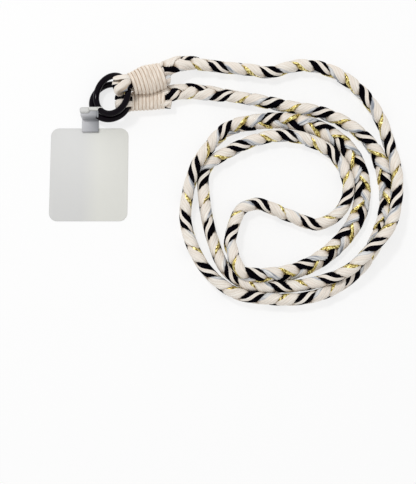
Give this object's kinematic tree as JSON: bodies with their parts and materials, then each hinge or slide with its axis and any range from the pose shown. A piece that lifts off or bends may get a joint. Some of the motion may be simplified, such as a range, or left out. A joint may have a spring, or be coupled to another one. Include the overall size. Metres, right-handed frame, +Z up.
{
  "type": "phone crossbody strap",
  "caption": "Long plaited cotton cord for carrying a phone across the body, with whipped eyes on two black rings and a clear tether tab.",
  "frame": {"origin": "on the table, under the middle of the hardware's box: tab, rings, doubled ends and whippings, without the free cord", "axes": "+X runs along the table to the right, as the cord leaves the rings; +Y runs away along the tab's length, towards the rings; +Z is up"},
  "size_m": [0.214, 0.155, 0.0212],
  "materials": {
    "plaited_cotton": "soft matte cotton yarns, plaited with black, silver-grey and gold",
    "wound_thread": "matte cream thread, wound tight",
    "black_ring": "glossy black",
    "clear_film": "milky translucent film"
  },
  "bodies": {
    "root": {"strap_cord": "plaited_cotton", "end_loop_upper": "plaited_cotton", "end_loop_lower": "plaited_cotton", "whipping_upper": "wound_thread", "whipping_lower": "wound_thread", "ring_upper": "black_ring", "ring_lower": "black_ring", "tether_tab": "clear_film"}
  },
  "joints": []
}
